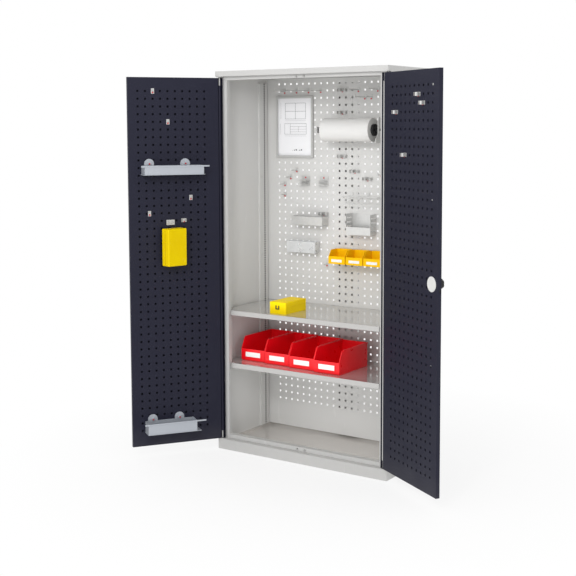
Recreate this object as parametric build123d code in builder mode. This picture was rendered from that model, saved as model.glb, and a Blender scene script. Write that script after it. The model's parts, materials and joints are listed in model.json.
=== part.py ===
from build123d import *
import os
from math import cos, radians, sin

# Tool cabinet, standing with both doors open. Millimetres, +Z up, front
# towards -Y, origin on the floor under the middle of the carcass.
os.makedirs("parts", exist_ok=True)

# ---- driving dimensions ----
WIDTH = 1000
DEPTH = 500
HEIGHT = 1950
HALF = WIDTH / 2
FRONT = -DEPTH / 2
BACK = DEPTH / 2
SHEET = 1.5                    # carcass steel
THIN = 1.2                     # door steel
PLINTH_TOP = 54
COVER_BOTTOM = 1923
STILE_Y = -222                 # front face of the stiles and rails
STILE_X = 445                  # inner edge of each stile
RETURN_Y = -198                # how far back each stile folds
RAIL_BACK_Y = -192
FLANGE_BACK_Y = -219           # rear edge of the plinth and cover flanges
FLOOR_TOP = 24
BACK_WALL_Y = 208

PITCH = 38                     # square perforation
HOLE = 10
BACK_COLUMNS, BACK_ROWS = 23, 46
BACK_FIRST_X = -418
TOP_ROW_Z = 1895

SLOT_PITCH = 12.5              # slots in the uprights
SLOT_COUNT = 148
FIRST_SLOT_Z = 46
UPRIGHT_FACE_X = 490
UPPER_SHELF_TOP = 728
LOWER_SHELF_TOP = UPPER_SHELF_TOP - 22 * SLOT_PITCH

HINGE_X = 477.5                # hinge axis of each door
HINGE_Y = -240
LEFT_SWING = 125.2             # how far each door stands open, degrees
RIGHT_SWING = 148.5
SWING = {-1: LEFT_SWING, 1: RIGHT_SWING}
NAME = {-1: "left", 1: "right"}
DOOR_HINGE_EDGE = -13          # along the door, from the hinge axis
DOOR_FREE_EDGE = 476.5
DOOR_OUTSIDE = -10             # through the door, from the hinge axis
DOOR_INSIDE = 9
DOOR_BOTTOM = 57.5
DOOR_TOP = 1916
DOOR_COLUMNS = 10
DOOR_FIRST_D = 84
DOOR_FIRST_ROW_Z = 1848
PIN_R = 4
PIN_FIT = 0.08                 # radial running clearance of every pin
PIN_LENGTH = 58
TUBE_R = 7.5

LOCK_D, LOCK_Z = 431, 993      # lock axis on the right door
CRANK_R = 15                   # crank pins of the lock cam
BIN_GAP = 0.3                  # a loose thing above what it stands on

CORNER = (Align.MIN, Align.MIN, Align.MIN)
STANDING = (Align.CENTER, Align.CENTER, Align.MIN)


# ---- helpers ----
def block(x0, x1, y0, y1, z0, z1, mode=Mode.ADD):
    """Block between two corners."""
    with Locations((x0, y0, z0)):
        Box(x1 - x0, y1 - y0, z1 - z0, align=CORNER, mode=mode)


def side_block(side, near, far, y0, y1, z0, z1, mode=Mode.ADD):
    """Block on one side of the middle plane; near and far are distances from it."""
    x0, x1 = sorted((side * near, side * far))
    block(x0, x1, y0, y1, z0, z1, mode)


def bar(start, end, radius, mode=Mode.ADD):
    """Round bar between two points."""
    run = Vector(*end) - Vector(*start)
    with Locations(Plane(origin=start, z_dir=run)):
        Cylinder(radius, run.length, align=STANDING, mode=mode)


def punch(middle, pitches, counts, hole_size):
    """Grid of holes through a sheet, on a plane in the middle of the grid."""
    with Locations(middle):
        with GridLocations(*pitches, *counts):
            Box(*hole_size, 6, mode=Mode.SUBTRACT)


def door_plane(side):
    """Upright plane on a hinge axis: x along the open door, z up."""
    swing = radians(SWING[side])
    along = Vector(-side * cos(swing), -sin(swing), 0)
    return Plane(origin=(side * HINGE_X, HINGE_Y, 0), x_dir=along, z_dir=(0, 0, 1))


def door_block(side, d0, d1, n0, n1, z0, z1, mode=Mode.ADD):
    """Block in a door: d along it from the hinge, n towards its inside."""
    y0, y1 = sorted((-side * n0, -side * n1))
    block(d0, d1, y0, y1, z0, z1, mode)


def door_bar(side, start, end, radius, mode=Mode.ADD):
    """Round bar in a door, between two (d, n, z) points."""
    ends = [(d, -side * n, z) for d, n, z in (start, end)]
    bar(ends[0], ends[1], radius, mode)


def hole_at(column, row):
    """Middle of one square hole of the back wall, as x and z."""
    return BACK_FIRST_X + column * PITCH, TOP_ROW_Z - row * PITCH


def save(piece, name):
    """Label a finished piece and write its file."""
    piece.part.label = name
    export_step(piece.part, f"parts/{name}.step")


# ---- carcass ----
def side_panel(side):
    """Outer sheet folded round into the front stile and a rear flange."""
    with BuildPart() as panel:
        side_block(side, HALF - SHEET, HALF, STILE_Y, BACK, PLINTH_TOP, COVER_BOTTOM)
        side_block(side, STILE_X, HALF, STILE_Y, STILE_Y + SHEET, PLINTH_TOP, COVER_BOTTOM)
        side_block(side, STILE_X, STILE_X + SHEET, STILE_Y, RETURN_Y, PLINTH_TOP, COVER_BOTTOM)
        side_block(side, STILE_X, 460, RETURN_Y - SHEET, RETURN_Y, PLINTH_TOP, COVER_BOTTOM)
        side_block(side, 470, HALF, BACK - SHEET, BACK, PLINTH_TOP, COVER_BOTTOM)
        for shelf_top in (UPPER_SHELF_TOP, LOWER_SHELF_TOP):
            middle = (STILE_Y + RETURN_Y) / 2
            z = shelf_top - 31
            bar((side * 440, middle, z), (side * 450, middle, z), 3.5, Mode.SUBTRACT)
    return panel


def plinth_ring():
    """Folded ring under the carcass, with slots for the lock rod."""
    with BuildPart() as ring:
        block(-HALF, HALF, FRONT, BACK, 0, PLINTH_TOP)
        fillet(ring.edges().filter_by(Axis.Z).group_by(Axis.Y)[0], 5)
        inner = HALF - SHEET
        block(-inner, inner, FRONT + SHEET, BACK - SHEET, SHEET, PLINTH_TOP - SHEET, Mode.SUBTRACT)
        block(-480, 480, FLANGE_BACK_Y, BACK - 20, 0, PLINTH_TOP, Mode.SUBTRACT)
        block(-inner, inner, -192, BACK - SHEET, 40, PLINTH_TOP, Mode.SUBTRACT)
        block(40, 68, -243, -232, PLINTH_TOP - 5, PLINTH_TOP, Mode.SUBTRACT)
    return ring


def cover():
    """Top cover with rounded upright corners and a flange all round below."""
    with BuildPart() as top:
        block(-HALF, HALF, FRONT, BACK, COVER_BOTTOM, HEIGHT)
        fillet(top.edges().filter_by(Axis.Z), 6)
        fillet(top.faces().sort_by(Axis.Z)[-1].edges(), 2)
        inner = HALF - SHEET
        block(-inner, inner, FRONT + SHEET, BACK - SHEET, COVER_BOTTOM + SHEET, HEIGHT - SHEET,
              Mode.SUBTRACT)
        block(-480, 480, FLANGE_BACK_Y, BACK - 20, COVER_BOTTOM - 1, COVER_BOTTOM + 5, Mode.SUBTRACT)
        block(40, 68, -243, -232, COVER_BOTTOM - 1, COVER_BOTTOM + 5, Mode.SUBTRACT)
    return top


def floor_tray():
    """Floor pan set low inside the plinth, with a low upstand all round."""
    edge = HALF - SHEET
    with BuildPart() as tray:
        block(-edge, edge, -218, BACK - SHEET, FLOOR_TOP - SHEET, 34)
        block(-edge + SHEET, edge - SHEET, -218 + SHEET, BACK - 2 * SHEET, FLOOR_TOP, 35, Mode.SUBTRACT)
    return tray


def rail(z0, z1):
    """Channel rail between the stiles, open to the back."""
    with BuildPart() as channel:
        block(-STILE_X, STILE_X, STILE_Y, RAIL_BACK_Y, z0, z1)
        block(-STILE_X, STILE_X, STILE_Y + SHEET, RAIL_BACK_Y, z0 + SHEET, z1 - SHEET, Mode.SUBTRACT)
    return channel


def perforated_back():
    """Back wall with its square holes and two folded sides."""
    low, high, edge = 36, 1921, 498
    with BuildPart() as wall:
        block(-edge, edge, BACK_WALL_Y, BACK - 4, low, high)
        block(-edge + SHEET, edge - SHEET, BACK_WALL_Y + SHEET, BACK, low, high, Mode.SUBTRACT)
        middle_z = TOP_ROW_Z - (BACK_ROWS - 1) * PITCH / 2
        grid = Plane(origin=(0, BACK_WALL_Y, middle_z), x_dir=(1, 0, 0), z_dir=(0, -1, 0))
        punch(grid, (PITCH, PITCH), (BACK_COLUMNS, BACK_ROWS), (HOLE, HOLE))
    return wall


def hat_stiffener():
    """Hat section fixed behind the middle of the back wall."""
    wall_back = BACK_WALL_Y + SHEET
    with BuildPart() as hat:
        block(-60, 60, wall_back, BACK - 2, 60, 1900)
        block(-60 + SHEET, 60 - SHEET, wall_back - 1, BACK - 2 - SHEET, 59, 1901, Mode.SUBTRACT)
        for side in (-1, 1):
            side_block(side, 60 - SHEET, 70, wall_back, wall_back + SHEET, 60, 1900)
    return hat


def uprights(y0, y1, slot_y, slot_width):
    """Pair of slotted channels on the side walls."""
    low, high = 36, 1900
    middle_z = FIRST_SLOT_Z + (SLOT_COUNT - 1) * SLOT_PITCH / 2
    with BuildPart() as pair:
        for side in (-1, 1):
            face = UPRIGHT_FACE_X
            side_block(side, face, HALF - SHEET, y0, y1, low, high)
            side_block(side, face + SHEET, HALF, y0 + SHEET, y1 - SHEET, low, high, Mode.SUBTRACT)
            grid = Plane(origin=(side * face, slot_y, middle_z), x_dir=(0, 1, 0), z_dir=(1, 0, 0))
            punch(grid, (1, SLOT_PITCH), (1, SLOT_COUNT), (slot_width, 8))
    return pair


def shelf(top_z):
    """Shelf plate with a lip all round and notched front corners."""
    with BuildPart() as plate:
        block(-437, 437, -214, -180, top_z - 25, top_z)
        block(-488, 488, RAIL_BACK_Y, 204, top_z - 25, top_z)
        fillet(plate.edges().filter_by(Axis.X).group_by(Axis.Z)[-1].sort_by(Axis.Y)[0], 2)
        block(-437 + SHEET, 437 - SHEET, -214 + SHEET, -180, top_z - 26, top_z - SHEET, Mode.SUBTRACT)
        block(-488 + SHEET, 488 - SHEET, RAIL_BACK_Y + SHEET, 204 - SHEET, top_z - 26, top_z - SHEET,
              Mode.SUBTRACT)
    return plate


def clips_under_shelves():
    """Eight supports that hook into the upright slots."""
    with BuildPart() as clips:
        for top_z in (UPPER_SHELF_TOP, LOWER_SHELF_TOP):
            under = top_z - SHEET
            for side in (-1, 1):
                for slot_y in (-145, 171):
                    side_block(side, 472, 486, slot_y - 9, slot_y + 9, under - 4, under)
                    side_block(side, 474, 486, slot_y - 1, slot_y + 1, under - 14, under - 4)
                    side_block(side, 484, 486, slot_y - 9, slot_y + 9, under - 30, under)
                    side_block(side, 484, UPRIGHT_FACE_X, slot_y - 9, slot_y + 9, under - 34, under - 26)
    return clips


def feet():
    """Four levelling feet under the floor pan."""
    with BuildPart() as four:
        for x in (-455, 455):
            for y in (-195, 195):
                with Locations((x, y, 0)):
                    Cylinder(18, 8, align=STANDING)
                with Locations((x, y, 8)):
                    Cylinder(5, FLOOR_TOP - SHEET - 8, align=STANDING)
    return four


def pins():
    """Four hinge pins, each on a small bracket plate."""
    with BuildPart() as hinge:
        for side in (-1, 1):
            axis_x = side * HINGE_X
            for base, top, plate_z in (
                (COVER_BOTTOM - 1 - PIN_LENGTH, COVER_BOTTOM, COVER_BOTTOM - 3),
                (PLINTH_TOP, PLINTH_TOP + PIN_LENGTH, PLINTH_TOP),
            ):
                with Locations((axis_x, HINGE_Y, base)):
                    Cylinder(PIN_R, top - base, align=STANDING)
                side_block(side, 462, 492, -249, STILE_Y, plate_z, plate_z + 2.5)
    return hinge


def keepers():
    """Slotted plates that take the ends of the lock rod."""
    with BuildPart() as plates:
        for z0 in (PLINTH_TOP - SHEET - 3, COVER_BOTTOM + SHEET):
            block(34, 74, -246, -226, z0, z0 + 3)
            block(38.5, 56, -241.5, -233.5, z0 - 1, z0 + 4, Mode.SUBTRACT)
    return plates


def screws():
    """Countersunk-pan screws through the uprights, two rows on each."""
    with BuildPart() as heads:
        for side in (-1, 1):
            for y in (-172, 145):
                for z in (140, 560, 980, 1400, 1820):
                    start = (side * UPRIGHT_FACE_X, y, z)
                    bar(start, (side * (UPRIGHT_FACE_X - 2), y, z), 5)
                    bar(start, (side * (UPRIGHT_FACE_X - 1), y, z), 6)
    return heads


def bumpers():
    """Rubber stops that the closed doors rest on."""
    with BuildPart() as stops:
        for x in (-22, 22):
            for z in (66, 1912):
                bar((x, STILE_Y, z), (x, STILE_Y - 8.6, z), 4.5)
    return stops


# ---- doors ----
def door_shell(side):
    """Outer pan of a door with its folded edges and top and bottom."""
    with BuildPart(door_plane(side)) as shell:
        door_block(side, DOOR_HINGE_EDGE, DOOR_FREE_EDGE, DOOR_OUTSIDE, DOOR_INSIDE, DOOR_BOTTOM, DOOR_TOP)
        door_block(side, DOOR_HINGE_EDGE + THIN, DOOR_FREE_EDGE - THIN, DOOR_OUTSIDE + THIN,
                   DOOR_INSIDE + 1, DOOR_BOTTOM + THIN, DOOR_TOP - THIN, Mode.SUBTRACT)
        bore = PIN_R + 0.5
        door_bar(side, (0, 0, DOOR_BOTTOM - 1), (0, 0, DOOR_TOP + 1), bore, Mode.SUBTRACT)
        if side > 0:
            door_block(side, LOCK_D - 5.5, LOCK_D + 5.5, 0, 5, DOOR_BOTTOM - 1, DOOR_TOP + 1, Mode.SUBTRACT)
            door_bar(side, (LOCK_D, DOOR_OUTSIDE - 1, LOCK_Z), (LOCK_D, 0, LOCK_Z), 6, Mode.SUBTRACT)
        door_block(side, DOOR_FREE_EDGE - 3, DOOR_FREE_EDGE + 1, -7.5, 1.5, LOCK_Z - 33, LOCK_Z - 19,
                   Mode.SUBTRACT)
    return shell


def door_panel(side):
    """Perforated inner sheet of a door and the fold beside the hinge tube."""
    low, high = DOOR_BOTTOM + THIN, DOOR_TOP - THIN
    near, far = 10, DOOR_FREE_EDGE - THIN
    middle_d = DOOR_FIRST_D + (DOOR_COLUMNS - 1) * PITCH / 2
    middle_z = DOOR_FIRST_ROW_Z - (BACK_ROWS - 1) * PITCH / 2
    with BuildPart(door_plane(side)) as panel:
        door_block(side, near, far, DOOR_OUTSIDE + THIN, DOOR_INSIDE, low, high)
        door_block(side, near + THIN, far + 1, DOOR_OUTSIDE, DOOR_INSIDE - THIN, low, high, Mode.SUBTRACT)
        grid = Plane(origin=(middle_d, -side * DOOR_INSIDE, middle_z), x_dir=(1, 0, 0), z_dir=(0, -1, 0))
        punch(grid, (PITCH, PITCH), (DOOR_COLUMNS, BACK_ROWS), (HOLE, HOLE))
    return panel


def hinge_tube(side):
    """Full-height tube at the hinge edge, with a bore for the pins."""
    low, high = DOOR_BOTTOM + 38.5, DOOR_TOP - 38
    with BuildPart(door_plane(side)) as tube:
        door_block(side, -5, 5, DOOR_OUTSIDE + THIN, 0, low, high)
        door_bar(side, (0, 0, low), (0, 0, high), TUBE_R)
        door_bar(side, (0, 0, low - 1), (0, 0, high + 1), PIN_R + PIN_FIT, Mode.SUBTRACT)
    return tube


def ledge_tray(body, flange, rim, z0, z1, clips):
    """Open tray on the left door: wider bottom sheet and rim, hung on two round clips."""
    side, back, front = -1, DOOR_INSIDE, 84
    with BuildPart(door_plane(side)) as tray:
        door_block(side, body[0], body[1], back, front - 3, z0, z1)
        door_block(side, body[0] + 2, body[1] - 2, back + 2, front - 5, z0 + 2, z1 + 1, Mode.SUBTRACT)
        door_block(side, flange[0], flange[1], back, front, z0, z0 + 2)
        door_block(side, rim[0], rim[1], front - 3, front, z1 - 7, z1)
        for d in clips:
            door_block(side, d - 10, d + 10, back, back + 2, z1 - 6, z1 + 6)
            door_bar(side, (d, back, z1 + 8), (d, back + 3, z1 + 8), 25)
            door_bar(side, (d, back, z1 + 8), (d, back + 12, z1 + 8), 6)
    return tray


def peg(side, d, z, reach, back=DOOR_INSIDE):
    """Single hook on a door: square foot, rod and upturned tip."""
    door_block(side, d - 8, d + 8, back, back + 2.5, z - 13, z + 13)
    door_bar(side, (d, back, z), (d, back + reach, z), 2.5)
    door_bar(side, (d, back + reach - 2.5, z - 2.5), (d, back + reach - 2.5, z + 12), 2.5)


def spring_clip(side, d, z, back=DOOR_INSIDE):
    """Spring clip on a door: foot and open ring."""
    door_block(side, d - 13, d + 13, back, back + 2.5, z - 9, z + 9)
    centre = back + 13
    door_bar(side, (d, centre, z - 8), (d, centre, z + 8), 12)
    door_bar(side, (d, centre, z - 9), (d, centre, z + 9), 10, Mode.SUBTRACT)
    door_block(side, d - 7, d + 7, centre + 3, centre + 14, z - 9, z + 9, Mode.SUBTRACT)


RING_PLACES = ((278, 1196), (256, 1190))
CASE_HOOK_D = 264


def left_door_hooks():
    """Hooks and clips on the left door, and the bracket of the hanging case."""
    with BuildPart(door_plane(-1)) as hooks:
        for d, z in ((374, 1240), (350, 1848), (274, 1696), (160, 1316)):
            peg(-1, d, z, 26)
        spring_clip(-1, 198, 1202)
        door_block(-1, 246, 288, DOOR_INSIDE, DOOR_INSIDE + 2.5, 1180, 1206)
        for d, z in RING_PLACES:
            door_bar(-1, (d, DOOR_INSIDE + 2, z), (d, DOOR_INSIDE + 6, z), 8)
            door_bar(-1, (d, DOOR_INSIDE + 1, z), (d, DOOR_INSIDE + 7, z), 5, Mode.SUBTRACT)
        door_block(-1, CASE_HOOK_D - 12, CASE_HOOK_D + 12, DOOR_INSIDE, DOOR_INSIDE + 2.5, 1066, 1096)
        door_bar(-1, (CASE_HOOK_D, DOOR_INSIDE, 1080), (CASE_HOOK_D, 33, 1080), 3)
        door_bar(-1, (CASE_HOOK_D, 33, 1077), (CASE_HOOK_D, 33, 1100), 2.8)
    return hooks


def right_door_clips():
    """Spring clips on the right door."""
    with BuildPart(door_plane(1)) as clips:
        for d, z in ((122, 1734), (198, 1544), (350, 1772), (312, 1810)):
            spring_clip(1, d, z)
    return clips


def hanging_box():
    """Case that hangs a little turned on the left door, by a slot in its back."""
    near_d, near_n, turn = 218, DOOR_INSIDE + 0.6, 19
    width, depth, z0, z1 = 110, 60, 979, 1166
    with BuildPart(door_plane(-1)) as case:
        with Locations(Location((near_d, near_n, z0), (0, 0, turn))):
            Box(width, depth, z1 - z0, align=CORNER)
        fillet(case.edges(), 5)
        door_block(-1, CASE_HOOK_D - 8, CASE_HOOK_D + 8, 5, 46, z0 - 1, 1104, Mode.SUBTRACT)
    return case


# ---- lock in the right door ----
def lock_housing():
    """Open-ended case round the lock works, on the outer skin."""
    back = DOOR_OUTSIDE + THIN
    with BuildPart(door_plane(1)) as case:
        door_block(1, 403, 459, back, DOOR_INSIDE - THIN, 957, 1029)
        door_block(1, 405, 457, back + 1.5, DOOR_INSIDE, 956, 1030, Mode.SUBTRACT)
        door_bar(1, (LOCK_D, back - 1, LOCK_Z), (LOCK_D, back + 3, LOCK_Z), 6, Mode.SUBTRACT)
        door_block(1, 456, 460, -6.5, 0.5, LOCK_Z - 32, LOCK_Z - 20, Mode.SUBTRACT)
    return case


def handle_rosette():
    """Round plate under the handle, on the outside of the door."""
    with BuildPart(door_plane(1)) as plate:
        door_bar(1, (LOCK_D, DOOR_OUTSIDE, LOCK_Z), (LOCK_D, DOOR_OUTSIDE - 3, LOCK_Z), 25)
        door_bar(1, (LOCK_D, 0, LOCK_Z), (LOCK_D, -15, LOCK_Z), PIN_R + PIN_FIT, Mode.SUBTRACT)
    return plate


def handle():
    """Round turn handle with finger scallops, and its spindle."""
    with BuildPart(door_plane(1)) as grip:
        door_bar(1, (LOCK_D, -13.4, LOCK_Z), (LOCK_D, -20, LOCK_Z), 13)
        door_bar(1, (LOCK_D, -19, LOCK_Z), (LOCK_D, -40, LOCK_Z), 21.5)
        for turn in range(0, 360, 60):
            d = LOCK_D + 27 * cos(radians(turn))
            z = LOCK_Z + 27 * sin(radians(turn))
            door_bar(1, (d, -18, z), (d, -41, z), 8, Mode.SUBTRACT)
        door_bar(1, (LOCK_D, -26, LOCK_Z), (LOCK_D, -41, LOCK_Z), 7 + PIN_FIT, Mode.SUBTRACT)
        door_bar(1, (LOCK_D, -20, LOCK_Z), (LOCK_D, 0, LOCK_Z), PIN_R)
    return grip


def key_plug():
    """Lock plug in the handle, with its key slot."""
    with BuildPart(door_plane(1)) as plug:
        door_bar(1, (LOCK_D, -26.3, LOCK_Z), (LOCK_D, -41, LOCK_Z), 7)
        door_block(1, LOCK_D - 1, LOCK_D + 1, -42, -36, LOCK_Z - 4.5, LOCK_Z + 4.5, Mode.SUBTRACT)
    return plug


def cam():
    """Disc on the spindle with two crank pins, drawn at the unlocked end."""
    offset = CRANK_R * cos(radians(45))
    with BuildPart(door_plane(1)) as disc:
        door_bar(1, (LOCK_D, -5, LOCK_Z), (LOCK_D, -1, LOCK_Z), 19)
        for sign in (-1, 1):
            d, z = LOCK_D + sign * offset, LOCK_Z - sign * offset
            door_bar(1, (d, -1, z), (d, 5, z), 2.5)
        door_bar(1, (LOCK_D, -6, LOCK_Z), (LOCK_D, 1, LOCK_Z), PIN_R + 0.03, Mode.SUBTRACT)
    return disc


def lock_rod(sign, end_z):
    """Rod from the cam to the top (sign 1) or bottom (sign -1) of the door."""
    def piece(near, far, low, high, mode=Mode.ADD, n0=1, n1=4):
        d0, d1 = sorted((LOCK_D + sign * near, LOCK_D + sign * far))
        z0, z1 = sorted((LOCK_Z + sign * low, LOCK_Z + sign * high))
        door_block(1, d0, d1, n0, n1, z0, z1, mode)

    reach = abs(end_z - LOCK_Z)
    with BuildPart(door_plane(1)) as rod:
        piece(6.5, 20.5, -17.5, 19)
        piece(-4.5, 20.5, 11, 19)
        piece(-4.5, 4.5, 11, reach)
        piece(7.8, 18, -14.6, -6.6, Mode.SUBTRACT, 0, 5)
    return rod


def side_bolt():
    """Bolt that slides sideways behind the other door's edge."""
    with BuildPart(door_plane(1)) as bolt:
        door_block(1, 430, 474.5, -6, 0, LOCK_Z - 31, LOCK_Z - 21)
    return bolt


def guides():
    """Four blocks that keep the lock rods straight."""
    with BuildPart(door_plane(1)) as blocks:
        for z in (150, 640, 1360, 1850):
            door_block(1, LOCK_D - 11, LOCK_D + 11, DOOR_OUTSIDE + THIN, DOOR_INSIDE - THIN, z - 6, z + 6)
            door_block(1, LOCK_D - 4.9, LOCK_D + 4.9, 0.6, 4.4, z - 7, z + 7, Mode.SUBTRACT)
    return blocks


def inner_cover():
    """Pale round cover over the lock works, on the inside of the door."""
    with BuildPart(door_plane(1)) as disc:
        door_bar(1, (LOCK_D, DOOR_INSIDE, LOCK_Z), (LOCK_D, DOOR_INSIDE + 4, LOCK_Z), 34)
        fillet(disc.edges().filter_by(GeomType.CIRCLE), 1.4)
    return disc


# ---- things hung on the back wall ----
def frame_for_document():
    """Flat frame, open at the top, that a sheet slides into."""
    x0, x1, z0, z1 = -430, -196, 1505, 1830
    with BuildPart() as frame:
        block(x0, x1, BACK_WALL_Y - 14, BACK_WALL_Y, z0, z1)
        block(x0 + 3, x1 - 3, BACK_WALL_Y - 11, BACK_WALL_Y - 2, z0 + 3, z1 + 1, Mode.SUBTRACT)
        block(x0 + 11, x1 - 11, BACK_WALL_Y - 15, BACK_WALL_Y - 10, z0 + 11, z1 - 11, Mode.SUBTRACT)
    return frame


ROLL_Y, ROLL_Z, ROLL_R = 118, 1652, 60
ROLL_X0, ROLL_X1 = -70, 214
CORE_R = 22
SPINDLE_R = 6


def brackets_for_roll():
    """Arm and gusset plate that carry the spindle of the paper roll."""
    with BuildPart() as arms:
        block(-126, -96, BACK_WALL_Y - 3, BACK_WALL_Y, 1632, 1704)
        block(-112, -109, ROLL_Y - 16, BACK_WALL_Y, ROLL_Z - 16, ROLL_Z + 16)
        block(236, 266, BACK_WALL_Y - 3, BACK_WALL_Y, 1588, 1714)
        with BuildSketch(Plane.YZ.offset(250)):
            Polygon((BACK_WALL_Y, 1588), (74, 1588), (74, 1608), (98, 1636), (98, 1714), (BACK_WALL_Y, 1714),
                    align=None)
        extrude(amount=3)
        block(218, 253, 74, BACK_WALL_Y, 1588, 1590.5)
        for x in (-112, 250):
            bar((x - 1, ROLL_Y, ROLL_Z), (x + 4, ROLL_Y, ROLL_Z), SPINDLE_R + PIN_FIT, Mode.SUBTRACT)
    return arms


def roll():
    """Wound paper on its hollow core."""
    with BuildPart() as paper:
        bar((ROLL_X0, ROLL_Y, ROLL_Z), (ROLL_X1, ROLL_Y, ROLL_Z), ROLL_R)
        bar((ROLL_X0 - 1, ROLL_Y, ROLL_Z), (ROLL_X1 + 1, ROLL_Y, ROLL_Z), CORE_R, Mode.SUBTRACT)
    return paper


def spindle():
    """Spindle with a flanged hub in each end of the core."""
    with BuildPart() as shaft:
        bar((-120, ROLL_Y, ROLL_Z), (262, ROLL_Y, ROLL_Z), SPINDLE_R)
        for end, inward in ((ROLL_X0, 1), (ROLL_X1, -1)):
            bar((end - inward * 12, ROLL_Y, ROLL_Z), (end, ROLL_Y, ROLL_Z), 30)
            bar((end, ROLL_Y, ROLL_Z), (end + inward * 20, ROLL_Y, ROLL_Z), CORE_R - 0.1)
    return shaft


def wall_foot(x, z, half_x=8, half_z=13):
    """Foot plate against the back wall."""
    block(x - half_x, x + half_x, BACK_WALL_Y - 2.5, BACK_WALL_Y, z - half_z, z + half_z)


# Holes of the back wall that hold the hooks: (column, row, reach).
HOOK_HOLES = [
    (1, 1, 105), (3, 1, 105), (5, 1, 105), (7, 1, 105), (13, 1, 105), (16, 1, 105), (14, 2, 105),
    (15, 2, 60), (3, 12, 55), (2, 13, 55), (1, 14, 55), (1, 15.5, 40), (16.5, 12.4, 40), (8, 25, 40),
]
# Where the spring clips sit: (column, row, number of rings).
CLIP_HOLES = [(10.5, 1, 2), (10.5, 4, 2), (10.5, 10, 2), (12.5, 12, 2), (14.5, 13, 2), (7.5, 18, 2)]
RING_PITCH = 30
# Where the shelf holders sit: (column, row).
HOLDER_HOLES = [(4.5, 13.5), (7.5, 13.5)]


def wall_hooks():
    """Single hooks: foot, rod and upturned tip."""
    with BuildPart() as hooks:
        for column, row, reach in HOOK_HOLES:
            x, z = hole_at(column, row)
            wall_foot(x, z)
            tip_y = BACK_WALL_Y - reach
            bar((x, BACK_WALL_Y, z), (x, tip_y, z), 2.5)
            bar((x, tip_y + 3, z - 2), (x, tip_y + 3, z + 13), 2.3)
    return hooks


def wall_clips():
    """Rows of open spring rings on common foot plates, and two holders with bored shelves."""
    with BuildPart() as clips:
        for column, row, count in CLIP_HOLES:
            x, z = hole_at(column, row)
            wall_foot(x, z, count * RING_PITCH / 2 - 2, 11)
            for number in range(count):
                ring_x = x + (number - (count - 1) / 2) * RING_PITCH
                ring_y = BACK_WALL_Y - 13
                bar((ring_x, ring_y, z - 8), (ring_x, ring_y, z + 8), 12)
                bar((ring_x, ring_y, z - 9), (ring_x, ring_y, z + 9), 10, Mode.SUBTRACT)
                block(ring_x - 7, ring_x + 7, ring_y - 14, ring_y - 3, z - 9, z + 9, Mode.SUBTRACT)
        for column, row in HOLDER_HOLES:
            x, z = hole_at(column, row)
            wall_foot(x, z, 26, 27)
            for shelf_z in (z - 16, z + 2):
                block(x - 26, x + 26, BACK_WALL_Y - 44, BACK_WALL_Y, shelf_z, shelf_z + 2)
                middle_y = BACK_WALL_Y - 24
                bar((x, middle_y, shelf_z - 1), (x, middle_y, shelf_z + 3), 9, Mode.SUBTRACT)
    return clips


def rack_of_wire():
    """Wire holder: two front wires, a lower wire and the wires that join them."""
    x0, x1, front = 36, 236, 120
    with BuildPart() as rack:
        for z, y in ((1312, front), (1312, 170), (1276, 150)):
            bar((x0 - 6, y, z), (x1 + 6, y, z), 2.5)
        for x in (x0, (x0 + x1) / 2, x1):
            bar((x, front - 4, 1309), (x, BACK_WALL_Y - 1, 1309), 2)
            bar((x, 148.6, 1271), (x, 148.6, 1310), 1.6)
            block(x - 8, x + 8, BACK_WALL_Y - 3, BACK_WALL_Y, 1296, 1330)
    return rack


def tray_for_pens():
    """Narrow open tray."""
    with BuildPart() as tray:
        block(-299, -106, 143, BACK_WALL_Y, 1152, 1197)
        block(-297, -108, 145, BACK_WALL_Y - 2, 1154, 1198, Mode.SUBTRACT)
    return tray


def box_with_holes():
    """Box with perforated ends and a low front lip."""
    x0, x1, y0, z0, z1 = 39, 183, 143, 1115, 1222
    with BuildPart() as box:
        block(x0, x1, y0, BACK_WALL_Y, z0, z1)
        block(x0 + 1.5, x1 - 1.5, y0 + 1.5, BACK_WALL_Y - 1.5, z0 + 1.5, z1 + 1, Mode.SUBTRACT)
        for y in (y0 + 16, y0 + 32, y0 + 48):
            for z in (z0 + 20, z0 + 42, z0 + 64, z0 + 86):
                block(x0 - 1, x1 + 1, y - 4, y + 4, z - 4, z + 4, Mode.SUBTRACT)
        block(x0 + 1.5, x1 - 1.5, y0 - 1, y0 + 2, z0 + 40, z1 + 1, Mode.SUBTRACT)
    return box


def tray_clear():
    """Narrow clear tray for small things."""
    with BuildPart() as tray:
        block(-340, -160, 160, BACK_WALL_Y, 1001, 1062)
        block(-337.5, -162.5, 162.5, BACK_WALL_Y - 2.5, 1003.5, 1063, Mode.SUBTRACT)
    return tray


RAIL_LIP_Y = 194
BIN_FRONT_Y, BIN_WIDTH, BIN_PITCH, BIN_X = 105, 98, 104, 6


def channel_for_bins():
    """Rail with an upturned lip that the small bins hook over."""
    with BuildPart() as channel:
        block(-50, 262, BACK_WALL_Y - 2, BACK_WALL_Y, 996, 1042)
        block(-50, 262, RAIL_LIP_Y, BACK_WALL_Y, 1010, 1012)
        block(-50, 262, RAIL_LIP_Y, RAIL_LIP_Y + 2, 1010, 1030)
    return channel


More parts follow.
